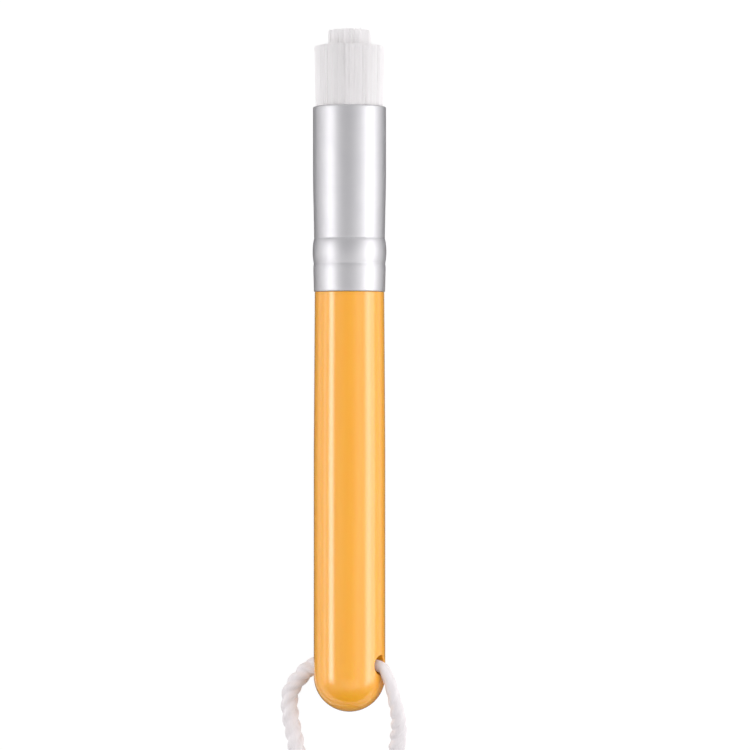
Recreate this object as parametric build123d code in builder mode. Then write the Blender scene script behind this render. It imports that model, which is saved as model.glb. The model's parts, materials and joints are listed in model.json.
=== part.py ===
"""Round cleaning brush: stepped bristle head, crimped aluminium ferrule, turned handle, cord lanyard.

The brush lies on its side on the plane z = 0. Its axis runs along Y, bristles towards +Y, and the
origin is under the middle of its length. Stations are distances along the axis from the tail end.
"""

import os
from math import cos, radians, sin, tan

from build123d import *

os.makedirs("parts", exist_ok=True)

# ---------------------------------------------------------------- driving dimensions, millimetres
# Handle: a turned rod with a ball-shaped tail, which tapers a little to the shoulder
handle_length = 63.2            # tail end to the shoulder under the ferrule
handle_radius = 5.39
taper_station = 39.5
shoulder_step = 0.135           # the shoulder stands this far inside the ferrule's outside
shoulder_chamfer = 0.1
spigot_past_groove = 1.7        # turned-down end inside the ferrule, from the main groove up
spigot_chamfer = 0.4
seat_flank = 0.6                # lower flank of the spigot's groove, pressed in by the crimp

# Lanyard hole: right through the handle, square to its axis and tipped up on the right
hole_station = 7.2
hole_tilt = 28.0                # degrees above the horizontal
hole_mouth_round = 0.2

# Ferrule: drawn tube, necked down to a rolled crimp. Depths are below the barrel's outside,
# and heights are above the handle's shoulder, where the tube ends
ferrule_length = 27.8
ferrule_wall = 0.35
barrel_radius = 5.5
barrel_length = 10.6            # straight part below the rim
rim_chamfer = 0.12
groove_depth = 0.17             # main crimp groove
groove_height = 8.1
bead_rise = 0.06                # bead left standing between the two grooves, past the barrel
bead_height = 5.95
minor_groove_depth = 0.09
minor_groove_height = 4.3
skirt_depth = 0.045
skirt_height = 3.4
end_depth = 0.13
end_chamfer = 0.08

# Bristle bundle: a core that stands out past a ring of shorter filaments
ring_exposed = 9.15             # ring's height above the rim
ring_flare = 0.065              # the ring springs out this far just above the rim,
ring_flare_height = 0.8
ring_spread = 0.115             # and this far by its top
ring_top_chamfer = 0.25
core_radius = 3.3
core_step = 2.35                # core's height above the ring, at its edge
core_taper = 0.1
core_crown = 0.2                # rise to the middle of the core's top
core_top_chamfer = 0.12
neck_in_depth = 0.55            # how far the thread draws in the bundle
core_neck_in_depth = 0.45
neck_in_length = 1.6            # the bundle widens over at least this length above the thread
thread_thickness = 0.4
thread_width = 1.3              # its turns lie tight, side by side
thread_edge = 0.12
thread_lift = 0.2               # adhesive's collar up to the first turn

# Set adhesive that holds the roots
glue_floor = 2.5                # thickness under the roots
glue_collar = 1.8               # how far it climbs round them

# Cord
cord_diameter = 2.6
knot_radius = 4.1
knot_length = 9.6
knot_end_radius = 3.0
knot_waist_radius = 3.65        # dip between the knot's wraps
leg_spacing = 2.9               # between the two legs where they enter the knot
entry_run = 7.0                 # each leg runs straight into the knot over this length
end_run = 3.0                   # each cut end leaves the knot straight, then splays out and sinks
end_reach = 8.4                 # knot's lower face to the tips, on average
end_splay = 1.2
end_unevenness = 0.8            # half the difference between the two tips
end_height = 2.0                # tips above the table

# Clearances
fit_gap = 0.05                  # radial, between pieces seated in one another
thread_gap = 0.02
hole_gap = 0.15                 # cord in its hole

# ---------------------------------------------------------------- what follows from them
rim_station = handle_length + ferrule_length
ring_top_station = rim_station + ring_exposed
core_edge_station = ring_top_station + core_step
overall_length = core_edge_station + core_crown
axis_height = barrel_radius + bead_rise
tail_y = -overall_length / 2
cord_radius = cord_diameter / 2

ferrule_end_radius = barrel_radius - end_depth
groove_radius = barrel_radius - groove_depth
groove_station = handle_length + groove_height
barrel_start = rim_station - barrel_length
neck_slope = groove_depth / (barrel_start - groove_station)

shoulder_radius = ferrule_end_radius - shoulder_step
spigot_radius = ferrule_end_radius - ferrule_wall - fit_gap
spigot_end = groove_station + spigot_past_groove

glue_bottom = spigot_end + fit_gap
root_station = glue_bottom + glue_floor + fit_gap
glue_top = root_station + glue_collar
thread_station = glue_top + thread_lift
neck_in_station = thread_station + thread_width + thread_gap
full_width_station = max(neck_in_station + neck_in_length, barrel_start)
bundle_radius = barrel_radius - ferrule_wall - fit_gap
root_radius = bundle_radius - neck_in_depth
core_root_radius = core_radius - core_neck_in_depth

brush_axis = Axis((0, tail_y, axis_height), (0, 1, 0))
# Profiles are drawn as (radius, station) on the upright plane through the brush's axis
profile_plane = Plane((0, tail_y, axis_height), x_dir=(1, 0, 0), z_dir=(0, 0, 1))

hole_centre = Vector(0, tail_y + hole_station, axis_height)
hole_direction = Vector(cos(radians(hole_tilt)), 0, sin(radians(hole_tilt)))


def bore_radius(station):
    """Ferrule's inner radius above the main groove."""
    return min(barrel_radius, groove_radius + neck_slope * (station - groove_station)) - ferrule_wall


def corner_radii(points):
    """Largest even bend at each inner point of a route: 0.45 of its shorter run."""
    radii = []
    for before, corner, after in zip(points, points[1:], points[2:]):
        run_in, run_out = corner - before, after - corner
        shorter = min(run_in.length, run_out.length)
        radii.append(0.45 * shorter / tan(radians(run_in.get_angle(run_out) / 2)))
    return radii


def report_route(name, points, radii, solid):
    """Print a route's bends, and its solid's volume beside section times length."""
    length = FilletPolyline(*points, radius=radii, mode=Mode.PRIVATE).length
    section = Circle(cord_radius, mode=Mode.PRIVATE).area
    print(f"{name}: length {length:.1f}, radii", " ".join(f"{r:.1f}" for r in radii))
    print(f"{name}: volume {solid.volume:.2f}, section x length {section * length:.2f}")


# ---------------------------------------------------------------- handle
with BuildPart() as handle:
    with BuildSketch(profile_plane):
        with BuildLine():
            CenterArc((0, handle_radius), handle_radius, -90, 90)
            Polyline(
                (handle_radius, handle_radius),
                (handle_radius, taper_station),
                (shoulder_radius, handle_length - shoulder_chamfer),
                (shoulder_radius - shoulder_chamfer, handle_length),
                (spigot_radius, handle_length),
                (spigot_radius, groove_station - seat_flank),
                (bore_radius(groove_station) - fit_gap, groove_station),
                (bore_radius(spigot_end) - fit_gap, spigot_end),
                (0, spigot_end),
                (0, 0),
            )
        make_face()
    revolve(axis=brush_axis)
    front_edges = handle.edges().filter_by(GeomType.CIRCLE).group_by(Axis.Y)
    chamfer(front_edges[-1], spigot_chamfer)
    with BuildSketch(Plane(hole_centre, z_dir=hole_direction)):
        Circle(cord_radius + hole_gap)
    extrude(amount=2 * handle_radius, both=True, mode=Mode.SUBTRACT)
    hole_wall = handle.faces().filter_by(GeomType.CYLINDER).filter_by(
        lambda face: abs(face.radius - cord_radius - hole_gap) < 1e-4)
    mouths = hole_wall.edges().filter_by(lambda edge: edge.geom_type not in (GeomType.LINE, GeomType.CIRCLE))
    fillet(mouths, hole_mouth_round)

# ---------------------------------------------------------------- ferrule
skirt = [(end_depth, 0), (skirt_depth, skirt_height), (minor_groove_depth, minor_groove_height)]
bead = [(minor_groove_depth, minor_groove_height), (-bead_rise, bead_height), (groove_depth, groove_height)]
barrel = [(groove_depth, groove_height), (0, ferrule_length - barrel_length), (0, ferrule_length)]


def crimp_points(points, inset=0):
    """Profile points from (depth, height) on the tube."""
    return [(barrel_radius - depth - inset, handle_length + height) for depth, height in points]


with BuildPart() as ferrule:
    with BuildSketch(profile_plane):
        with BuildLine():
            for inset in (0, ferrule_wall):
                Polyline(*crimp_points(skirt, inset))
                ThreePointArc(*crimp_points(bead, inset))
                Polyline(*crimp_points(barrel, inset))
            for end in (skirt[0], barrel[-1]):
                Line(*crimp_points([end]), *crimp_points([end], ferrule_wall))
        make_face()
    revolve(axis=brush_axis)
    rings = ferrule.edges().filter_by(GeomType.CIRCLE).group_by(Axis.Y)
    chamfer(rings[-1].sort_by(SortBy.RADIUS)[-1], rim_chamfer)
    chamfer(rings[0].sort_by(SortBy.RADIUS)[-1], end_chamfer)

# ---------------------------------------------------------------- bristles
core_side = [
    (core_root_radius, root_station),
    (core_root_radius, neck_in_station),
    (core_radius, full_width_station),
    (core_radius, ring_top_station),
]

with BuildPart() as outer_bristles:
    with BuildSketch(profile_plane):
        with BuildLine():
            core_bore = Polyline(*[(radius + fit_gap, station) for radius, station in core_side])
            Polyline(
                core_bore @ 0,
                (root_radius, root_station),
                (root_radius, neck_in_station),
                (bundle_radius, full_width_station),
                (bundle_radius, rim_station),
                (bundle_radius + ring_flare, rim_station + ring_flare_height),
                (bundle_radius + ring_spread, ring_top_station),
                core_bore @ 1,
            )
        make_face()
    revolve(axis=brush_axis)
    top_edges = outer_bristles.edges().filter_by(GeomType.CIRCLE).group_by(Axis.Y)[-1]
    chamfer(top_edges.sort_by(SortBy.RADIUS)[-1], ring_top_chamfer)

with BuildPart() as centre_bristles:
    with BuildSketch(profile_plane):
        with BuildLine():
            Polyline(
                *core_side,
                (core_radius - core_taper, core_edge_station),
                (0, overall_length),
                (0, root_station),
                close=True,
            )
        make_face()
    revolve(axis=brush_axis)
    core_edge = centre_bristles.edges().filter_by(GeomType.CIRCLE).group_by(Axis.Y)[-1]
    chamfer(core_edge, core_top_chamfer)

with BuildPart() as binding_thread:
    with BuildSketch(profile_plane):
        with Locations((root_radius + thread_gap, thread_station)):
            Rectangle(thread_thickness, thread_width, align=Align.MIN)
    revolve(axis=brush_axis)
    thread_rims = binding_thread.edges().filter_by(GeomType.CIRCLE).group_by(SortBy.RADIUS)[-1]
    chamfer(thread_rims, thread_edge)

# ---------------------------------------------------------------- adhesive
with BuildPart() as glue_plug:
    with BuildSketch(profile_plane):
        with BuildLine():
            Polyline(
                (0, glue_bottom),
                (bore_radius(glue_bottom) - fit_gap, glue_bottom),
                (bore_radius(glue_top) - fit_gap, glue_top),
                (root_radius + fit_gap, glue_top),
                (root_radius + fit_gap, root_station - fit_gap),
                (0, root_station - fit_gap),
                close=True,
            )
        make_face()
    revolve(axis=brush_axis)

# ---------------------------------------------------------------- lanyard
# One cord goes through the hole; both legs lie down on the table and meet again in the knot
knot_station = -46.0
knot_height = knot_radius
knot_face_y = tail_y + knot_station

right_leg = [
    (6.9, 2.3, 8.2),
    (7.6, -2.2, 5.2),
    (7.5, -7.2, 2.0),
    (6.8, -16.0, 1.3),
    (4.6, -29.0, 1.6),
]
left_leg = [
    (-8.3, 4.8, 1.4),
    (-9.6, 1.3, 1.3),
    (-9.0, -4.0, 1.3),
    (-7.4, -13.0, 1.3),
    (-4.6, -27.0, 1.6),
]
bend_clearance = 1.91           # handle's side to the corner where the cord turns down
corner_reach = handle_radius + bend_clearance


def placed(points):
    """Route points from (x, station, z) into the brush's frame."""
    return [Vector(x, tail_y + station, z) for x, station, z in points]


def knot_entry(side):
    """The last two points of a leg: square to the knot's end face."""
    x = side * leg_spacing / 2
    return [Vector(x, knot_face_y + entry_run, knot_height), Vector(x, knot_face_y, knot_height)]


cord_route = (
    list(reversed(knot_entry(1))) + list(reversed(placed(right_leg)))
    + [hole_centre + hole_direction * corner_reach, hole_centre - hole_direction * corner_reach]
    + placed(left_leg) + knot_entry(-1)
)
cord_radii = corner_radii(cord_route)

with BuildPart() as lanyard_cord:
    with BuildLine() as cord_path:
        FilletPolyline(*cord_route, radius=cord_radii)
    with BuildSketch(Plane(cord_path.line @ 0, z_dir=cord_path.line % 0)):
        Circle(cord_radius)
    sweep()

knot_axis = Axis((0, knot_face_y, knot_height), (0, -1, 0))
knot_plane = Plane((0, knot_face_y, knot_height), x_dir=(1, 0, 0), z_dir=(0, 0, -1))

with BuildPart() as lanyard_knot:
    with BuildSketch(knot_plane):
        with BuildLine():
            Polyline(
                (0, 0),
                (knot_end_radius, 0),
                (knot_radius, knot_length / 4),
                (knot_waist_radius, knot_length / 2),
                (knot_radius, 3 * knot_length / 4),
                (knot_end_radius, knot_length),
                (0, knot_length),
                close=True,
            )
        make_face()
    revolve(axis=knot_axis)

with BuildPart() as lanyard_ends:
    for side in (-1, 1):
        end_x = side * leg_spacing / 2
        end_y = knot_face_y - knot_length
        tip_y = end_y - end_reach + side * end_unevenness
        end_route = [
            Vector(end_x, end_y, knot_height),
            Vector(end_x, end_y - end_run, knot_height),
            Vector(end_x + side * end_splay, tip_y, end_height),
        ]
        with BuildLine() as end_path:
            FilletPolyline(*end_route, radius=corner_radii(end_route))
        with BuildSketch(Plane(end_path.line @ 0, z_dir=end_path.line % 0)):
            Circle(cord_radius)
        sweep(path=end_path.line)

report_route("lanyard_cord", cord_route, cord_radii, lanyard_cord.part)

# ---------------------------------------------------------------- export
pieces = {
    "handle": handle,
    "ferrule": ferrule,
    "outer_bristles": outer_bristles,
    "centre_bristles": centre_bristles,
    "binding_thread": binding_thread,
    "glue_plug": glue_plug,
    "lanyard_cord": lanyard_cord,
    "lanyard_knot": lanyard_knot,
    "lanyard_ends": lanyard_ends,
}
for name, piece in pieces.items():
    piece.part.label = name
    export_step(piece.part, f"parts/{name}.step")
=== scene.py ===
"""Studio scene of a round cleaning brush that lies on a white table: filament head, satin ferrule,
orange lacquered handle and a twisted cord lanyard. All lengths are metres, in the part's own frame."""

import json
import math

import bpy
import numpy as np
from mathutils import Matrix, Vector


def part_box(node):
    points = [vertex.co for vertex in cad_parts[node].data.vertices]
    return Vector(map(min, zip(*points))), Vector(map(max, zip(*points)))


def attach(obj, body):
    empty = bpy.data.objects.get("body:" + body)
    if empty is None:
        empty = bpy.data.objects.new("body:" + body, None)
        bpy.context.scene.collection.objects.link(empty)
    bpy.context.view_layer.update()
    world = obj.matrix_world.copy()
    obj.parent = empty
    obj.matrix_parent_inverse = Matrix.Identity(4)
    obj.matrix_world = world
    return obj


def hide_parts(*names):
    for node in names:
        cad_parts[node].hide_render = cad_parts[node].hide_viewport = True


MM = 0.001

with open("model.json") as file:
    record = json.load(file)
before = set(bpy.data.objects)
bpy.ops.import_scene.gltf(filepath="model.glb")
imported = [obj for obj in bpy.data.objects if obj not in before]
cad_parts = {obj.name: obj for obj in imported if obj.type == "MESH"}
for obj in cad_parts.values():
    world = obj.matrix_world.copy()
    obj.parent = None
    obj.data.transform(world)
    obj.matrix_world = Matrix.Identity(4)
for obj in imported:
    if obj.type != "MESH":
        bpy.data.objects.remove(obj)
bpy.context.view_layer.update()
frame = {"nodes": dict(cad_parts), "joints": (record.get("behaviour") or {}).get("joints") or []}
nodes = frame["nodes"]
chance = np.random.default_rng(20)

# ---------------------------------------------------------------- places read from the frame
tail_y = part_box("handle")[0].y
axis_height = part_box("ferrule")[1].z / 2
swing = frame["joints"][0]
hole_centre = Vector(swing["pos_m"])


# ---------------------------------------------------------------- camera
CAMERA_HEIGHT = 0.500            # above the brush's axis
VIEW_WIDTH = 0.11295             # what the frame spans at that height
camera_data = bpy.data.cameras.new("camera")
camera_data.sensor_width = 36.0
camera_data.lens = camera_data.sensor_width * CAMERA_HEIGHT / VIEW_WIDTH
camera = bpy.data.objects.new("camera", camera_data)
camera.location = (3.84 * MM, -0.67 * MM, axis_height + CAMERA_HEIGHT)
bpy.context.scene.collection.objects.link(camera)
bpy.context.scene.camera = camera
bpy.context.scene.view_settings.view_transform = "Standard"


# ---------------------------------------------------------------- node helpers
class Shader:
    """A material's or world's node tree with short ways to add and join nodes."""

    def __init__(self, owner):
        owner.use_nodes = True
        self.tree = owner.node_tree
        self.tree.nodes.clear()

    def node(self, kind, inputs=(), **settings):
        made = self.tree.nodes.new(kind)
        for name, value in settings.items():
            setattr(made, name, value)
        for name, value in dict(inputs).items():
            if isinstance(value, bpy.types.NodeSocket):
                self.tree.links.new(value, made.inputs[name])
            else:
                made.inputs[name].default_value = value
        return made

    def math(self, operation, *values):
        return self.node("ShaderNodeMath", enumerate(values), operation=operation).outputs[0]

    def ramp(self, value, stops):
        made = self.node("ShaderNodeValToRGB", {"Fac": value})
        elements = made.color_ramp.elements
        while len(elements) < len(stops):
            elements.new(0.5)
        for element, (position, colour) in zip(elements, stops):
            element.position = position
            element.color = (*colour, 1.0)
        return made.outputs["Color"]

    def output(self, kind, **sockets):
        made = self.tree.nodes.new(kind)
        for name, value in sockets.items():
            self.tree.links.new(value, made.inputs[name])


def material(name):
    made = bpy.data.materials.new(name)
    return made, Shader(made)


# ---------------------------------------------------------------- studio
# brightness of the room against the angle from straight up, seen along the brush, right side positive
ROOM = [(-97, 2.60), (-90, 2.50), (-82, 1.60), (-73, 0.80), (-69, 3.9), (-65, 5.8), (-57, 6.0), (-53, 3.6),
        (-49, 0.90), (-37, 0.88), (-29, 0.82), (-20, 0.65), (-10, 0.52), (6, 0.52), (14, 0.75), (22, 1.10),
        (29, 1.35), (45, 1.25), (51, 1.6), (57, 3.6), (68, 4.7), (75, 2.9), (82, 2.60), (90, 2.70), (97, 2.70)]
BRIGHTEST = 6.0
ROOM_SPAN = 300.0                # degrees that a table against the angle covers, half on each side
# how far along the brush those lights reach, towards its tail and its head, against the same angle
TAIL_REACH = [(-97, 0.30), (-60, 0.25), (-30, 0.50), (0, 0.65), (40, 0.52), (65, 0.36), (90, 0.24)]
HEAD_REACH = [(-97, 0.30), (-60, 0.25), (0, 0.25), (65, 0.38), (97, 0.39)]
REACH_FADE = 0.15
# brightness of the room's ends, from straight behind the tail (-1) to straight ahead of the bristles (1)
WALLS = [(-1.0, 0.08), (-0.88, 0.12), (-0.75, 0.35), (-0.64, 0.60), (-0.5, 0.90), (-0.2, 0.90), (0.0, 0.30),
         (0.55, 0.30), (0.85, 1.60), (1.0, 1.60)]
CEILING_TAILWARD = 0.55          # brightness of the ceiling towards the tail
# how pale the table is in reflections: a painted shadow darkens it out to the first distance from the brush's
# line, and it is plain pale from the second distance on; and how pale it is as a light on things
TABLE_PAINTED_SHADOW, TABLE_FAR, TABLE_LIT = (12.0 * MM, 0.18), (20.0 * MM, 0.90), 0.90
TABLE_SIZE = 3.0                 # from its middle to each edge


def make_world():
    """Long soft lights on both sides of the brush, dark straight above it, and plain white for the camera."""
    world = bpy.data.worlds.new("studio")
    bpy.context.scene.world = world
    s = Shader(world)
    direction = s.node("ShaderNodeTexCoord").outputs["Generated"]
    parts = s.node("ShaderNodeSeparateXYZ", {"Vector": direction}).outputs
    angle = s.math("ARCTAN2", parts["X"], parts["Z"])
    place = s.math("ADD", s.math("DIVIDE", angle, math.radians(ROOM_SPAN)), 0.5)

    def against_angle(table, scale=1.0):
        return s.math("MULTIPLY", s.ramp(place, [(degrees / ROOM_SPAN + 0.5, (level / scale,) * 3)
                                                 for degrees, level in table]), scale)

    long_lights = against_angle(ROOM, BRIGHTEST)
    headward = s.math("GREATER_THAN", parts["Y"], 0.0)
    reach = s.node("ShaderNodeMix", {0: headward, 2: against_angle(TAIL_REACH), 3: against_angle(HEAD_REACH)})
    near_end = s.node("ShaderNodeMapRange", {
        "Value": s.math("ABSOLUTE", parts["Y"]), "From Min": s.math("SUBTRACT", reach.outputs[0], REACH_FADE),
        "From Max": s.math("ADD", reach.outputs[0], REACH_FADE), "To Min": 1.0, "To Max": 0.0},
        interpolation_type="SMOOTHSTEP").outputs["Result"]
    wall_level = s.math("MULTIPLY", s.ramp(s.math("ADD", s.math("MULTIPLY", parts["Y"], 0.5), 0.5), [
        (0.5 + 0.5 * y, (level / 2,) * 3) for y, level in WALLS]), 2.0)
    rise = s.node("ShaderNodeMapRange", {"Value": parts["Z"], "From Min": -0.1, "From Max": 0.25,
                                         "To Min": 0.15, "To Max": 1.0}).outputs["Result"]
    walls = s.math("MULTIPLY", s.math("MULTIPLY", wall_level, rise), s.math("SUBTRACT", 1.0, near_end))
    overhead = s.node("ShaderNodeMapRange", {"Value": s.math("ABSOLUTE", parts["X"]), "From Min": 0.25,
                                             "From Max": 0.6, "To Min": CEILING_TAILWARD, "To Max": 0.0},
                      interpolation_type="SMOOTHSTEP").outputs["Result"]
    tailward = s.node("ShaderNodeMapRange", {"Value": parts["Y"], "From Min": -0.35, "From Max": 0.0,
                                             "To Min": 1.0, "To Max": 0.0},
                      interpolation_type="SMOOTHSTEP").outputs["Result"]
    above = s.math("MULTIPLY", s.math("MULTIPLY", overhead, tailward),
                   s.math("MULTIPLY", near_end, s.math("GREATER_THAN", parts["Z"], 0.0)))
    glow = s.math("ADD", s.math("ADD", s.math("MULTIPLY", long_lights, near_end), walls), above)
    lit = s.node("ShaderNodeBackground", {"Color": (1.0, 0.985, 1.0, 1.0), "Strength": glow})
    white = s.node("ShaderNodeBackground", {"Color": (1.0, 1.0, 1.0, 1.0), "Strength": 1.0})
    seen = s.node("ShaderNodeLightPath").outputs["Is Camera Ray"]
    mixed = s.node("ShaderNodeMixShader", {0: seen, 1: lit.outputs[0], 2: white.outputs[0]})
    s.output("ShaderNodeOutputWorld", Surface=mixed.outputs[0])


def make_floor():
    """White table: blown out where the camera sees it, a quiet pale tone in reflections, with a painted shadow
    that darkens it in reflections near the brush's line.
    """
    mesh = bpy.data.meshes.new("table")
    corners = [(x * TABLE_SIZE, y * TABLE_SIZE, 0) for x, y in ((-1, -1), (1, -1), (1, 1), (-1, 1))]
    mesh.from_pydata(corners, [], [(0, 1, 2, 3)])
    table = bpy.data.objects.new("table", mesh)
    bpy.context.scene.collection.objects.link(table)
    made, s = material("table_white")
    lit = s.node("ShaderNodeBsdfDiffuse", {"Color": (0.06, 0.06, 0.06, 1.0)})
    glow = s.node("ShaderNodeEmission", {"Color": (1.0, 1.0, 1.0, 1.0), "Strength": 0.97})
    blown_out = s.node("ShaderNodeAddShader", {0: lit.outputs[0], 1: glow.outputs[0]})
    parts = s.node("ShaderNodeSeparateXYZ", {"Vector": s.node("ShaderNodeTexCoord").outputs["Object"]}).outputs
    # painted shadow: the table's tone in reflections darkens towards the brush's line
    painted_shadow_grey = s.node("ShaderNodeMapRange", {
        "Value": s.math("ABSOLUTE", parts["X"]), "From Min": TABLE_PAINTED_SHADOW[0], "From Max": TABLE_FAR[0],
        "To Min": TABLE_PAINTED_SHADOW[1], "To Max": TABLE_FAR[1]}, interpolation_type="SMOOTHSTEP").outputs["Result"]
    light = s.node("ShaderNodeLightPath").outputs
    pale = s.node("ShaderNodeMix", {0: light["Is Glossy Ray"], 2: TABLE_LIT, 3: painted_shadow_grey}).outputs[0]
    plain = s.node("ShaderNodeBsdfDiffuse", {"Color": pale})
    mixed = s.node("ShaderNodeMixShader", {
        0: light["Is Camera Ray"], 1: plain.outputs[0], 2: blown_out.outputs[0]})
    s.output("ShaderNodeOutputMaterial", Surface=mixed.outputs[0])
    mesh.materials.append(made)


# ---------------------------------------------------------------- materials
def object_noise(s, stretch, scale, detail):
    """Noise in the object's own coordinates, finer along an axis where stretch is larger."""
    place = s.node("ShaderNodeTexCoord").outputs["Object"]
    scaled = s.node("ShaderNodeMapping", {"Vector": place, "Scale": stretch}).outputs["Vector"]
    made = s.node("ShaderNodeTexNoise", {
        "Vector": scaled, "Scale": scale, "Detail": detail, "Roughness": 0.55})
    return made.outputs["Fac"]


def between(s, value, low, high):
    """A value of 0 to 1 stretched between two others."""
    return s.node("ShaderNodeMapRange", {"Value": value, "To Min": low, "To Max": high}).outputs["Result"]


def tint(s, value, dark, light):
    """A colour between two others, against a noise's value."""
    return s.ramp(value, [(0.3, dark), (0.7, light)])


def bumps(s, height, strength, distance):
    """Normals of a slightly uneven surface, from its height."""
    made = s.node("ShaderNodeBump", {"Height": height, "Strength": strength, "Distance": distance})
    return made.outputs["Normal"]


def lacquer():
    """Thick glossy orange lacquer over turned wood: the grain just shows, and the film has a slight ripple."""
    made, s = material("orange_lacquer")
    grain = object_noise(s, (1.0, 0.06, 1.0), 900.0, 4.0)
    ripple = object_noise(s, (1.0, 0.5, 1.0), 260.0, 2.0)
    bump = bumps(s, ripple, 0.035, 0.20 * MM)
    body = s.node("ShaderNodeBsdfPrincipled", {
        "Base Color": tint(s, grain, (0.935, 0.412, 0.022), (0.96, 0.435, 0.028)), "Roughness": 0.2,
        "Subsurface Weight": 0.25, "Subsurface Radius": (1.0, 0.45, 0.08), "Subsurface Scale": 0.0006,
        "Specular IOR Level": 0.4, "Coat Weight": 1.0, "Coat Roughness": 0.12, "Coat IOR": 1.5,
        "Coat Normal": bump})
    s.output("ShaderNodeOutputMaterial", Surface=body.outputs[0])
    return made


def satin_aluminium():
    """Drawn and lacquered aluminium: a soft satin with faint turning lines round it."""
    made, s = material("satin_aluminium")
    lines = object_noise(s, (0.12, 6.0, 0.12), 1400.0, 3.0)
    blotches = object_noise(s, (1.0, 1.0, 1.0), 300.0, 2.0)
    bump = bumps(s, lines, 0.10, 0.03 * MM)
    body = s.node("ShaderNodeBsdfPrincipled", {
        "Base Color": tint(s, blotches, (0.575, 0.575, 0.59), (0.60, 0.60, 0.61)), "Metallic": 1.0,
        "Roughness": between(s, lines, 0.44, 0.54), "Normal": bump})
    s.output("ShaderNodeOutputMaterial", Surface=body.outputs[0])
    return made


def uneven_surface(name, dark, light, roughness, stretch, scale):
    """A plain surface that is a little uneven in colour and height, along whichever axis is not stretched."""
    made, s = material(name)
    specks = object_noise(s, stretch, scale, 2.0)
    bump = bumps(s, specks, 0.12, 0.05 * MM)
    body = s.node("ShaderNodeBsdfPrincipled", {
        "Base Color": tint(s, specks, dark, light), "Roughness": roughness, "Normal": bump})
    s.output("ShaderNodeOutputMaterial", Surface=body.outputs[0])
    return made


def fine_fibres(name, dark, light):
    """Fine white fibres or filaments that let light through to each other."""
    made, s = material(name)
    threads = object_noise(s, (1.0, 0.04, 1.0), 5000.0, 2.0)
    body = s.node("ShaderNodeBsdfPrincipled", {
        "Base Color": tint(s, threads, dark, light), "Roughness": 0.55, "Specular IOR Level": 0.25,
        "Subsurface Weight": 0.3, "Subsurface Radius": (1.0, 1.0, 1.0), "Subsurface Scale": 0.0003})
    s.output("ShaderNodeOutputMaterial", Surface=body.outputs[0])
    return made


def cord_cotton():
    """Soft white cotton: fine fibres along the rope, a little shade from one fibre to the next."""
    made, s = material("cord_cotton")
    place = s.node("ShaderNodeTexCoord").outputs["UV"]
    along = s.node("ShaderNodeMapping", {"Vector": place, "Scale": (60.0, 5.0, 1.0)}).outputs["Vector"]
    fibres = s.node("ShaderNodeTexNoise", {"Vector": along, "Scale": 1.0, "Detail": 3.0,
                                           "Roughness": 0.6}).outputs["Fac"]
    wide = s.node("ShaderNodeMapping", {"Vector": place, "Scale": (6.0, 3.0, 1.0)}).outputs["Vector"]
    patches = s.node("ShaderNodeTexNoise", {"Vector": wide, "Scale": 1.0, "Detail": 2.0}).outputs["Fac"]
    shade = s.math("ADD", s.math("MULTIPLY", fibres, 0.6), s.math("MULTIPLY", patches, 0.4))
    bump = bumps(s, fibres, 0.35, 0.06 * MM)
    body = s.node("ShaderNodeBsdfPrincipled", {
        "Base Color": tint(s, shade, (0.74, 0.70, 0.705), (0.86, 0.835, 0.84)), "Roughness": 0.9,
        "Specular IOR Level": 0.2, "Sheen Weight": 0.25, "Sheen Roughness": 0.5, "Normal": bump})
    s.output("ShaderNodeOutputMaterial", Surface=body.outputs[0])
    return made


# ---------------------------------------------------------------- cord
CORD_DIAMETER = 2.6 * MM
KNOT_FACE = -46.0                # stations along the brush from its tail, as in the legs below
KNOT_HEIGHT = 4.1
LEG_SPACING = 2.9
ENTRY_RUN = 7.0

# (x, station, height) in millimetres, from the hole's mouth to the knot
RIGHT_LEG = [(4.6, 7.6, 7.95), (5.9, 5.4, 8.6), (6.9, 1.5, 7.7), (7.5, -1.9, 5.6), (7.2, -5.2, 3.4),
             (6.9, -9.5, 1.6), (6.2, -17.0, 1.35), (4.4, -29.5, 1.6)]
LEFT_LEG = [(-5.2, 7.2, 2.75), (-7.6, 4.9, 1.7), (-9.2, 2.6, 1.4), (-9.1, -1.0, 1.4), (-8.2, -5.0, 1.4),
            (-7.2, -11.5, 1.4), (-6.3, -18.0, 1.4), (-4.4, -28.5, 1.6)]
# each cord's way into the overhand knot that both make together, and its cut end beyond it
LEFT_ENTRY = [(-LEG_SPACING / 2, KNOT_FACE, KNOT_HEIGHT), (-1.45, -46.9, 4.1)]
RIGHT_ENTRY = [(LEG_SPACING / 2, KNOT_FACE, KNOT_HEIGHT), (1.45, -46.8, 4.1), (0.8, -48.1, 4.2)]
LEFT_END = [(0.7, -55.4, 2.7), (1.1, -57.3, 2.4), (1.8, -59.3, 1.7), (2.4, -61.5, 1.4), (2.9, -63.9, 1.4)]
RIGHT_END = [(-0.3, -55.5, 4.55), (-0.7, -57.2, 3.8), (-1.4, -59.0, 2.6), (-2.0, -60.8, 1.6),
             (-2.5, -62.9, 1.4)]
TIGHT = 0.74                     # thickness of the cord where the knot squeezes it
SPLINE_STEPS = 24                # points for each stretch of a smooth line


def spline_points(points):
    """Points read from the smooth NURBS line that has these as its control points."""
    data = bpy.data.curves.new("route", "CURVE")
    data.dimensions = "3D"
    spline = data.splines.new("NURBS")
    spline.points.add(len(points) - 1)
    for target, point in zip(spline.points, points):
        target.co = (*point, 1.0)
    spline.order_u = 3
    spline.use_endpoint_u = True
    data.resolution_u = SPLINE_STEPS
    carrier = bpy.data.objects.new("route", data)
    bpy.context.scene.collection.objects.link(carrier)
    bpy.context.view_layer.update()
    line = bpy.data.meshes.new_from_object(carrier.evaluated_get(bpy.context.evaluated_depsgraph_get()))
    found = np.array([v.co for v in line.vertices], float)
    bpy.data.objects.remove(carrier)
    bpy.data.curves.remove(data)
    bpy.data.meshes.remove(line)
    return found


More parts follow.
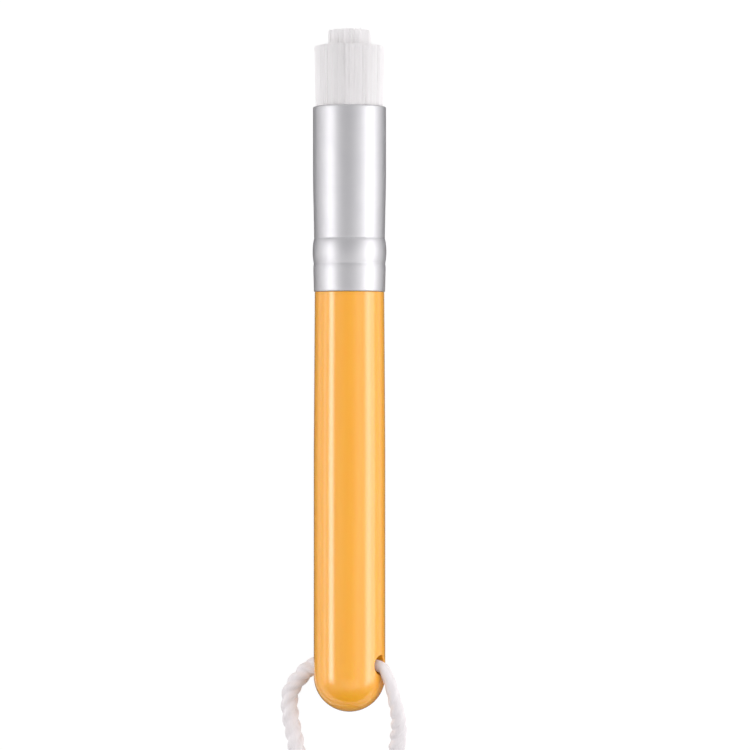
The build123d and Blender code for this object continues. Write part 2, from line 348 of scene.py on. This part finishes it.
def even_steps(points, step):
    """The same line with its points one step apart."""
    runs = np.linalg.norm(np.diff(points, axis=0), axis=1)
    far = np.concatenate([[0.0], np.cumsum(runs)])
    count = max(2, int(round(far[-1] / step)) + 1)
    wanted = np.linspace(0.0, far[-1], count)
    return np.stack([np.interp(wanted, far, points[:, i]) for i in range(3)], axis=1), far[-1]


def carried_frames(points):
    """Tangent and two normals at each point, turned as little as the line allows."""
    tangent = np.gradient(points, axis=0)
    tangent /= np.linalg.norm(tangent, axis=1)[:, None]
    normal = np.zeros_like(tangent)
    normal[0] = np.cross(tangent[0], (0.0, 0.0, 1.0))
    normal[0] /= np.linalg.norm(normal[0])
    for i in range(1, len(points)):
        carried = normal[i - 1] - tangent[i] * (normal[i - 1] @ tangent[i])
        normal[i] = carried / np.linalg.norm(carried)
    return tangent, normal, np.cross(tangent, normal)


# ---------------------------------------------------------------- overhand knot
# Two chains of beads, tied side by side in one wide overhand knot and pulled tight by their ends. That is done
# in a space of its own, in millimetres, where the ends run along X.
SQUEEZED = 2.1                   # thickness of the cord in the knot
SIDE_BY_SIDE = 0.52 * SQUEEZED   # how far each cord's line is from the line between them
BEAD_GAP = 0.7
LOOSE_SIZE = 5.2                 # size of the knot as it is tied
END_REACH = 24.0                 # how far from its middle each end starts
PULLS = 1281                     # steps of pulling
PULL = 0.03                      # how far a step draws each end
DRIFT_KEPT = 0.90                # share of a bead's last move that it makes again
SWEEPS = 10                      # rounds of setting the distances right in each step
STIFF_BEADS, STIFFNESS = 4, 0.3  # how far along a chain beads stay nearly in line, and how firmly
NEIGHBOURS = 5                   # beads up to this far along a chain may come closer than a cord's thickness
WATCHED = 2.5                    # only beads with less room than this between them are kept a cord apart
WATCH_EVERY = 25                 # steps between two choices of those beads
# what brings the tight knot's middle to zero in its own space, its scale in the frame, and its middle there as
# x, station and height
KNOT_SHIFT, KNOT_SCALE, KNOT_MIDDLE = np.array([-1.6, 0.0, -0.35]), 0.93, np.array([0.0, -50.8, 4.3])
LEFT_TURNS, RIGHT_TURNS = slice(41, 72), slice(41, 65)       # every second bead, from each entry to each end
LOWEST = 0.95                    # height of a squeezed cord's line where it lies on the table


def loose_knot():
    """Both chains as they are tied, along a trefoil's line with its two ends drawn out."""
    turn = np.linspace(math.pi + 0.75, 3 * math.pi - 0.75, 80)[4:-4:4]
    trefoil = np.stack([np.sin(turn) + 2 * np.sin(2 * turn), np.cos(turn) - 2 * np.cos(2 * turn),
                        -0.85 * np.sin(3 * turn)], axis=1) * LOOSE_SIZE
    start = np.array([(END_REACH, -2.0 * LOOSE_SIZE, 0.0), (18.0, -2.2 * LOOSE_SIZE, 0.3 * LOOSE_SIZE),
                      (12.0, -2.3 * LOOSE_SIZE, 0.6 * LOOSE_SIZE),
                      (1.7 * LOOSE_SIZE, -1.9 * LOOSE_SIZE, 0.8 * LOOSE_SIZE)])
    finish = start[::-1] * (-1.0, 1.0, -1.0)
    middle, _ = even_steps(spline_points([*start, *trefoil, *finish]), BEAD_GAP)
    _, aside, _ = carried_frames(middle)
    return [even_steps(middle + way * SIDE_BY_SIDE * aside, BEAD_GAP)[0] for way in (1, -1)]


def set_apart(beads, free, pairs, distance, share=1.0, only_closer=False):
    """Moves the free beads of each pair to this distance from each other, or only those that are closer."""
    first, second = pairs.T
    gap = beads[second] - beads[first]
    length = np.linalg.norm(gap, axis=1)
    if only_closer:
        closer = length < distance
        first, second, gap, length = first[closer], second[closer], gap[closer], length[closer]
    weight = np.maximum(free[first] + free[second], 1e-9)
    move = gap * ((length - distance) * share / weight / length)[:, None]
    np.add.at(beads, first, move * free[first][:, None])
    np.add.at(beads, second, -move * free[second][:, None])


def pulled_tight(chains):
    """The chains after their ends are drawn apart, with every link as long as before and turns a cord apart."""
    sizes = [len(chain) for chain in chains]
    beads = np.concatenate(chains)
    owner = np.repeat([0, 1], sizes)
    place = np.concatenate([np.arange(size) for size in sizes])
    pairs = np.stack(np.triu_indices(len(beads), 1), axis=1)
    along = place[pairs[:, 1]] - place[pairs[:, 0]]
    along[owner[pairs[:, 0]] != owner[pairs[:, 1]]] = len(beads)
    links, stiff, others = pairs[along == 1], pairs[along == STIFF_BEADS], pairs[along > NEIGHBOURS]
    even = place[links[:, 0]] % 2 == 0
    ends = np.array([0, sizes[0] - 1, sizes[0], len(beads) - 1])
    free = np.ones(len(beads))
    free[ends] = 0.0
    outward = np.array([1, -1, 1, -1])
    beads[ends] = [(x * END_REACH, -2.0 * LOOSE_SIZE, z * SIDE_BY_SIDE) for z in (1, -1) for x in (1, -1)]
    before = beads.copy()
    for step in range(PULLS):
        drift = (beads - before) * DRIFT_KEPT
        before = beads.copy()
        beads = beads + drift * free[:, None]
        beads[ends, 0] += PULL * outward
        if step % WATCH_EVERY == 0:
            gap = beads[others[:, 1]] - beads[others[:, 0]]
            watched = others[(gap * gap).sum(axis=1) < (SQUEEZED + WATCHED) ** 2]
        for sweep in range(SWEEPS):
            set_apart(beads, free, links[even], BEAD_GAP)
            set_apart(beads, free, links[~even], BEAD_GAP)
            set_apart(beads, free, watched, SQUEEZED, 0.5, only_closer=True)
            if sweep % 3 == 0:
                set_apart(beads, free, stiff, 0.9 * STIFF_BEADS * BEAD_GAP, STIFFNESS, only_closer=True)
    return np.split(beads, sizes[:1])


def control_points(points):
    """Control points of the smooth line that passes through these points."""
    count = len(points)
    weights = (6 * np.eye(count) + np.eye(count, k=1) + np.eye(count, k=-1)) / 8
    weights[0], weights[-1] = np.eye(count)[0], np.eye(count)[-1]
    return np.linalg.solve(weights, points)


def knot_turns(beads, wanted):
    """Control points (x, station, height) of a chain's turns in the knot. They are rounded, so that the knot
    doesn't hang on the last digits of the tightening."""
    smooth = (beads[:-2] + 2 * beads[1:-1] + beads[2:]) / 4
    turned = np.stack([-smooth[:, 1], smooth[:, 0], -smooth[:, 2]], axis=1) + KNOT_SHIFT
    turns = np.round(control_points(turned[1::2] * KNOT_SCALE + KNOT_MIDDLE)[wanted], 1)
    turns[:, 2] = np.maximum(turns[:, 2], LOWEST)
    return [tuple(point) for point in turns.tolist()]


# ---------------------------------------------------------------- meshes of ropes and fibres
def tube_mesh(vertices, faces, rings, close_ends=True):
    """Adds a tube through rings, an array of rings by points by xyz."""
    base = len(vertices)
    count, sides = rings.shape[:2]
    vertices.extend(map(tuple, rings.reshape(-1, 3)))
    for i in range(count - 1):
        for j in range(sides):
            a = base + i * sides + j
            b = base + i * sides + (j + 1) % sides
            faces.append((a, b, b + sides, a + sides))
    if close_ends:
        # the end faces have corners of their own, so that they don't bend the shading of the sides
        cap = len(vertices)
        vertices.extend(map(tuple, rings[0]))
        vertices.extend(map(tuple, rings[-1]))
        faces.append(tuple(reversed(range(cap, cap + sides))))
        faces.append(tuple(range(cap + sides, cap + 2 * sides)))


def mesh_piece(name, vertices, faces, surface, smooth=True):
    mesh = bpy.data.meshes.new(name)
    mesh.from_pydata(vertices, [], faces)
    mesh.update()
    mesh.polygons.foreach_set("use_smooth", [smooth] * len(mesh.polygons))
    mesh.materials.append(surface)
    made = bpy.data.objects.new(name, mesh)
    bpy.context.scene.collection.objects.link(made)
    return made


STRANDS = 3
LAY_LENGTH = 6.2 * MM
STRAND_ROUND = 0.77 * MM         # radius of a strand's outer curve
STRAND_CENTRE = 0.53 * MM        # and how far out its centre is
GROOVE_FILL = 0.05 * MM          # how much the cotton fills the grooves between strands
GROOVE_SPREAD = 0.20             # and how far round from each groove, in radians
ROPE_SIDES = 48
ROPE_STEP = 0.12 * MM


def lay_outline(around, depth):
    """Distance of the rope's surface from its line: three round strands with soft grooves between them."""
    section = 2 * math.pi / STRANDS
    from_crest = (around + section / 2) % section - section / 2
    crest = STRAND_CENTRE * np.cos(from_crest)
    crest += np.sqrt(STRAND_ROUND ** 2 - (STRAND_CENTRE * np.sin(from_crest)) ** 2)
    filled = GROOVE_FILL * np.exp(-((np.abs(from_crest) - section / 2) / GROOVE_SPREAD) ** 2)
    return CORD_DIAMETER / 2 - depth * (CORD_DIAMETER / 2 - crest - filled)


def rope(name, points, surface, phase, waist, softness=((0.0,), (1.0,))):
    """One laid rope along a line. Waist gives its thickness and softness its grooves against the distance.
    Phase is the angle of a strand's crest at the start, or the crest that the rope before it returned."""
    line, length = even_steps(points, ROPE_STEP)
    tangent, normal, side = carried_frames(line)
    if np.ndim(phase):
        phase = math.atan2(phase @ side[0], phase @ normal[0])
    far = np.linspace(0.0, length, len(line))
    turn = far * 2 * math.pi / LAY_LENGTH + phase
    thickness = np.interp(far, *waist)
    depth = np.interp(far, *softness)
    around = np.linspace(0, 2 * math.pi, ROPE_SIDES, endpoint=False)
    reach = lay_outline(around[None, :] - turn[:, None], depth[:, None]) * thickness[:, None]
    across, up = np.cos(around)[None, :, None], np.sin(around)[None, :, None]
    out = normal[:, None, :] * across + side[:, None, :] * up
    rings = line[:, None, :] + out * reach[:, :, None]
    vertices, faces = [], []
    tube_mesh(vertices, faces, rings)
    piece = mesh_piece(name, vertices, faces, surface)
    lay_map(piece, len(line))
    crest = normal[-1] * math.cos(turn[-1]) + side[-1] * math.sin(turn[-1])
    return piece, line, length, crest


def lay_map(piece, count):
    """UVs of a rope with this many rings: once round it across, and its length in centimetres along."""
    mesh = piece.data
    marks = mesh.uv_layers.new(name="lay").data
    for face in mesh.polygons:
        corners = [mesh.loops[i].vertex_index for i in face.loop_indices]
        columns = [v % ROPE_SIDES for v in corners]
        rows = [v // ROPE_SIDES for v in corners]
        # an end cap's own corners take the place of those that they double
        rows = [row if row < count else (row - count) * (count - 1) for row in rows]
        wraps = len(corners) == 4 and max(columns) - min(columns) > ROPE_SIDES / 2
        for i, row, column in zip(face.loop_indices, rows, columns):
            across = (column + ROPE_SIDES * (wraps and column < ROPE_SIDES / 2)) / ROPE_SIDES
            marks[i].uv = (across, row * ROPE_STEP / (10 * MM))


def placed(points):
    """Places in the frame, in metres, of (x, station, height) points."""
    return [Vector((x * MM, tail_y + station * MM, height * MM)) for x, station, height in points]


def leg_route(side, leg):
    """Control points of one leg, in metres: hole, mouth, leg, knot."""
    entry = [(side * LEG_SPACING / 2, station, KNOT_HEIGHT) for station in (KNOT_FACE + ENTRY_RUN, KNOT_FACE)]
    return [hole_centre.copy(), *placed(leg), *placed(entry)]


# of the right leg (1) and the left (-1), as rope() takes them
LEG_PHASE = {1: 0.6, -1: 0.0}
LEG_WAIST = {1: ((0.0, 5.0 * MM, 9.0 * MM, 12.0 * MM, 15.0 * MM, 19.0 * MM),
                 (0.68, 0.66, 0.72, 0.80, 0.93, 1.0)),
             -1: ((0.0, 6.0 * MM), (0.95, 1.03))}
LEG_SOFTNESS = {1: ((0.0, 8.0 * MM, 12.0 * MM, 15.0 * MM), (0.15, 0.2, 0.6, 0.95)),
                -1: ((0.0, 4.0 * MM, 8.0 * MM), (0.4, 0.4, 0.95))}


def add_fibres(vertices, faces, lines, thickness, across=((1.0, 0.0, 0.0), (0.0, 0.0, 1.0))):
    """Adds a three-sided fibre, closed at its tip, along each line of fibres by levels by xyz."""
    count, levels = lines.shape[:2]
    base = len(vertices)
    twist = chance.uniform(0, 2 * math.pi, count)
    corners = twist[:, None] + np.arange(3)[None, :] * 2 * math.pi / 3
    aside, up = np.array(across)
    spread = np.cos(corners)[:, :, None] * aside + np.sin(corners)[:, :, None] * up
    rings = lines[:, :, None, :] + thickness[:, None, None, None] * spread[:, None, :, :]
    vertices.extend(map(tuple, rings.reshape(-1, 3)))
    for one in range(count):
        start = base + one * levels * 3
        for level in range(levels - 1):
            low = start + level * 3
            for corner in range(3):
                following = (corner + 1) % 3
                faces.append((low + corner, low + corner + 3, low + following + 3, low + following))
        tip = start + (levels - 1) * 3
        faces.append((tip, tip + 1, tip + 2))


LOOSE_FIBRES = 260               # at each cut end
FRAY_ROOT = 0.6                  # how far inside the cut they start
FRAY_REACH = (0.8, 2.0)          # and how long they are
FRAY_THICKNESS = (0.035, 0.060)
FRAY_LOWEST = 0.08               # height of the lowest above the table


def frayed_tip(name, line, surface):
    """Loose cotton fibres that stand out of a rope's cut end."""
    heading = line[-1] - line[-10]
    heading /= np.linalg.norm(heading)
    aside = np.cross(heading, (0.0, 0.0, 1.0))
    aside /= np.linalg.norm(aside)
    up = np.cross(aside, heading)
    angle = chance.uniform(0, 2 * math.pi, LOOSE_FIBRES)
    far = 0.92 * CORD_DIAMETER / 2 * np.sqrt(chance.random(LOOSE_FIBRES))
    outward = aside * np.cos(angle)[:, None] + up * np.sin(angle)[:, None]
    root = line[-1] - FRAY_ROOT * MM * heading + outward * far[:, None]
    reach = chance.uniform(*FRAY_REACH, LOOSE_FIBRES) * MM
    fan = outward * (far / CORD_DIAMETER * chance.uniform(0.2, 1.3, LOOSE_FIBRES) * MM)[:, None]
    stray = chance.normal(0.0, 0.14 * MM, (LOOSE_FIBRES, 3))
    climb = np.linspace(0.0, 1.0, 6)[None, :, None]
    lines = root[:, None, :] + heading * reach[:, None, None] * climb + (fan + stray)[:, None, :] * climb ** 2
    lines[:, :, 2] = np.maximum(lines[:, :, 2], FRAY_LOWEST * MM)
    vertices, faces = [], []
    add_fibres(vertices, faces, lines, chance.uniform(*FRAY_THICKNESS, LOOSE_FIBRES) * MM, (aside, up))
    return mesh_piece(name, vertices, faces, surface)


def on_lanyard(piece, replaced):
    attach(piece, "lanyard")
    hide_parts(replaced)


def make_cords(surface, loose):
    """Both legs, the overhand knot they make together, and their two cut ends."""
    left_beads, right_beads = pulled_tight(loose_knot())
    right_turns = RIGHT_ENTRY + knot_turns(right_beads, RIGHT_TURNS)
    left_turns = LEFT_ENTRY + knot_turns(left_beads, LEFT_TURNS)
    legs, tied = [], []
    for side, word, leg, turns, end in ((1, "right", RIGHT_LEG, right_turns, RIGHT_END),
                                        (-1, "left", LEFT_LEG, left_turns, LEFT_END)):
        points = spline_points(leg_route(side, leg))
        piece, line, length, crest = rope("cord_" + word, points, surface, LEG_PHASE[side],
                                          waist=LEG_WAIST[side], softness=LEG_SOFTNESS[side])
        on_lanyard(piece, "lanyard_cord")
        legs.append((side, piece, line, length))
        full = LEG_WAIST[side][1][-1]
        points = spline_points(placed(turns))
        piece, line, length, crest = rope("knot_" + word, points, surface, crest,
                                          waist=((0.0, 0.3 * MM, 2.2 * MM), (full, full, TIGHT)),
                                          softness=((0.0, 3.0 * MM), (0.95, 1.0)))
        on_lanyard(piece, "lanyard_knot")
        tied.append(piece)
        points = spline_points(placed([turns[-1], *end]))
        piece, line, length, crest = rope("end_" + word, points, surface, crest,
                                          waist=((0.0, 1.0 * MM, 4.0 * MM, length), (TIGHT, 0.80, 1.0, 1.03)))
        on_lanyard(piece, "lanyard_ends")
        tied.append(piece)
        piece = frayed_tip("fray_" + word, line, loose)
        on_lanyard(piece, "lanyard_ends")
        tied.append(piece)


# ---------------------------------------------------------------- bristles
RING_OUTSIDE = [(88.0, 4.60), (89.6, 5.04), (91.0, 5.13), (99.35, 5.26), (100.15, 5.31)]     # station, radius
RING_INSIDE = 3.28
RING_TOP = 100.15
CORE_OUTSIDE = [(88.0, 2.9), (91.0, 3.26), (100.0, 3.24), (102.5, 3.20)]
CORE_TOP = 102.5
CORE_CROWN = 0.2
FILAMENT = 0.050                 # from a filament's middle to its corners
ROW_PITCH = 0.080                # between rows of filaments, and between neighbours in a row
LONG_ROWS = 3                    # rows at the outside that show down to the ferrule
SHORT_REACH = 1.6                # how far below the cut end the filaments behind them start
LAST_JOINT = 0.9                 # how far below it a long filament has its last bend
STRAYS = 0.010                   # share of the filaments that stand out, by their length or their lean
UNEVEN_CUT = 0.03
STRAY_LENGTH = (0.05, 0.30)
LEAN, STRAY_LEAN = 0.008, 0.07
ROUNDED_EDGE = 0.06              # share of the head's radius where its cut is rounded off
HEART_INSET = 0.10               # from a bundle's outside to the solid behind its rows
# how far below the cut, and inside the bundle's outside, that solid's shoulder and its top edge are
HEART_SHOULDER, HEART_TOP = (0.50, 0.12), (0.30, 0.30)


def filament_rows(outer, inner):
    """Places of the filaments in rows about the axis, from the outside in: x, z, row."""
    places = []
    row, reach = 0, outer - FILAMENT
    while reach > max(inner, ROW_PITCH / 2):
        count = int(2 * math.pi * reach / ROW_PITCH)
        angle = (np.arange(count) + chance.random()) * 2 * math.pi / count
        angle += chance.normal(0.0, 0.12, count) * ROW_PITCH / reach
        far = reach + chance.normal(0.0, 0.007 if row == 0 else 0.015, count)
        places.append(np.stack([far * np.cos(angle), far * np.sin(angle), np.full(count, row)], axis=1))
        row, reach = row + 1, reach - ROW_PITCH
    return np.concatenate(places)


def turned_body(vertices, faces, profile, sides=96):
    """Adds a body turned about the brush's axis from (station, radius) points, closed at both ends."""
    around = np.linspace(0, 2 * math.pi, sides, endpoint=False)
    rings = np.array([[(radius * math.cos(a), station, radius * math.sin(a)) for a in around]
                      for station, radius in profile])
    tube_mesh(vertices, faces, rings)


def bristle_bundle(name, outside, inner, top, crown, rounding, surface, replaced):
    """Cut filaments round a solid heart, as one piece. Crown is how far the cut rises to its middle, and
    rounding how far it falls at its edge."""
    stations, radii = zip(*outside)
    outer = radii[-1]
    places = filament_rows(outer, inner)
    reach = np.linalg.norm(places[:, :2], axis=1)
    share = reach / outer
    edge = np.clip((share - 1 + ROUNDED_EDGE) / ROUNDED_EDGE, 0, 1)
    tops = top + crown * (1 - share ** 2) - rounding * edge ** 2
    tops += chance.normal(0.0, UNEVEN_CUT, len(places))
    tops += (chance.random(len(places)) < STRAYS) * chance.uniform(*STRAY_LENGTH, len(places))
    lean = chance.normal(0.0, LEAN, (len(places), 2))
    lean += (chance.random((len(places), 1)) < STRAYS) * chance.normal(0.0, STRAY_LEAN, (len(places), 2))
    vertices, faces = [], []
    for long in (True, False):
        chosen = (places[:, 2] < LONG_ROWS) == long
        levels = [outside[0][0], outside[1][0], (outside[1][0] + top) / 2, top - LAST_JOINT, top]
        if not long:
            levels = [top - SHORT_REACH, top]
        lines = np.zeros((chosen.sum(), len(levels), 3))
        for level, station in enumerate(levels):
            climb = (station - levels[0]) / (top - levels[0])
            room = np.interp(station, stations, radii) / outer
            fan = climb ** 2 if long else climb
            lines[:, level, 0] = places[chosen, 0] * room + lean[chosen, 0] * fan
            lines[:, level, 2] = places[chosen, 1] * room + lean[chosen, 1] * fan
            lines[:, level, 1] = station + (tops[chosen] - top) * climb
        add_fibres(vertices, faces, lines, chance.uniform(0.96, 1.08, chosen.sum()) * FILAMENT)
    shoulder = top - HEART_SHOULDER[0]
    heart = [(station, radius - HEART_INSET) for station, radius in outside if station < shoulder]
    heart += [(top - below, outer - inside) for below, inside in (HEART_SHOULDER, HEART_TOP)]
    turned_body(vertices, faces, heart)
    vertices = [(x * MM, tail_y + y * MM, axis_height + z * MM) for x, y, z in vertices]
    piece = mesh_piece(name, vertices, faces, surface, smooth=False)
    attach(piece, "brush")
    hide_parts(replaced)


# ---------------------------------------------------------------- ferrule
FERRULE_FOOT = 63.2              # station of its lower edge
# (height above that edge, radius): rolled lip, skirt, weak crimp, bead, sharp rolled line, straight barrel, rim
FERRULE_OUTSIDE = [
    (0.02, 5.29), (0.06, 5.335), (0.16, 5.362), (0.5, 5.374), (2.0, 5.408), (3.3, 5.446), (3.7, 5.440),
    (3.98, 5.418), (4.14, 5.390), (4.26, 5.384), (4.36, 5.402), (4.52, 5.432), (4.80, 5.470), (5.20, 5.515),
    (5.65, 5.548), (6.05, 5.556), (6.50, 5.545), (6.95, 5.515), (7.35, 5.468), (7.60, 5.425), (7.80, 5.382),
    (7.92, 5.346), (8.01, 5.316), (8.06, 5.308), (8.11, 5.316), (8.18, 5.328), (8.26, 5.334), (8.45, 5.335),
    (9.5, 5.352), (12.0, 5.400), (14.5, 5.455), (17.2, 5.497), (19.0, 5.500), (27.45, 5.500), (27.62, 5.494),
    (27.72, 5.474), (27.79, 5.435), (27.80, 5.385)]
FERRULE_INSIDE = [(27.76, 5.30), (27.62, 5.22), (27.3, 5.165), (26.6, 5.15), (24.0, 5.15)]
WALL_FOOT = [(8.1, 5.0), (4.3, 5.06), (0.4, 5.02), (0.04, 5.03), (0.0, 5.10), (-0.005, 5.22)]
FERRULE_SIDES = 288


def make_ferrule(surface):
    """The ferrule's thin wall, turned about the brush's axis."""
    heights, radii = np.array(FERRULE_OUTSIDE + FERRULE_INSIDE + WALL_FOOT).T * MM
    around = np.linspace(0, 2 * math.pi, FERRULE_SIDES, endpoint=False)
    ring = np.stack([np.cos(around), np.zeros(FERRULE_SIDES), np.sin(around)], axis=1)
    rings = radii[:, None, None] * ring[None, :, :]
    rings[:, :, 1] += tail_y + FERRULE_FOOT * MM + heights[:, None]
    rings[:, :, 2] += axis_height
    vertices, faces = [], []
    tube_mesh(vertices, faces, np.concatenate([rings, rings[:1]]), close_ends=False)
    piece = mesh_piece("ferrule_shell", vertices, faces, surface)
    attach(piece, "brush")
    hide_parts("ferrule")


# ---------------------------------------------------------------- assembly
make_world()
make_floor()
# the loose fibres at the cut ends are painted much whiter than the cord itself, a painted lift against the
# shade the thin fibres cast on each other
make_cords(cord_cotton(), fine_fibres("loose_cotton_painted_light", (0.955, 0.945, 0.945), (0.98, 0.97, 0.97)))
bristle_bundle("outer_filaments", RING_OUTSIDE, RING_INSIDE, RING_TOP, 0.0, 0.22,
               fine_fibres("filament_white", (0.945, 0.93, 0.93), (0.965, 0.955, 0.955)), "outer_bristles")
# the centre filaments are painted a little whiter than the ring's, a painted lift against the shade that the
# ring casts on them
bristle_bundle("centre_filaments", CORE_OUTSIDE, 0.0, CORE_TOP, CORE_CROWN, 0.08,
               fine_fibres("filament_white_core_painted_light", (0.96, 0.945, 0.945), (0.98, 0.97, 0.97)), "centre_bristles")
make_ferrule(satin_aluminium())
finishes = {
    "handle": lacquer(),
    "binding_thread": uneven_surface("binding_cotton", (0.74, 0.70, 0.62), (0.82, 0.79, 0.72), 0.8,
                                     (0.2, 1.0, 0.2), 5000.0),
    "glue_plug": uneven_surface("epoxy", (0.55, 0.42, 0.20), (0.66, 0.52, 0.28), 0.25, (1.0, 1.0, 1.0), 900.0),
}
for node_name, finish in finishes.items():
    mesh = nodes[node_name].data
    mesh.materials.clear()
    mesh.materials.append(finish)
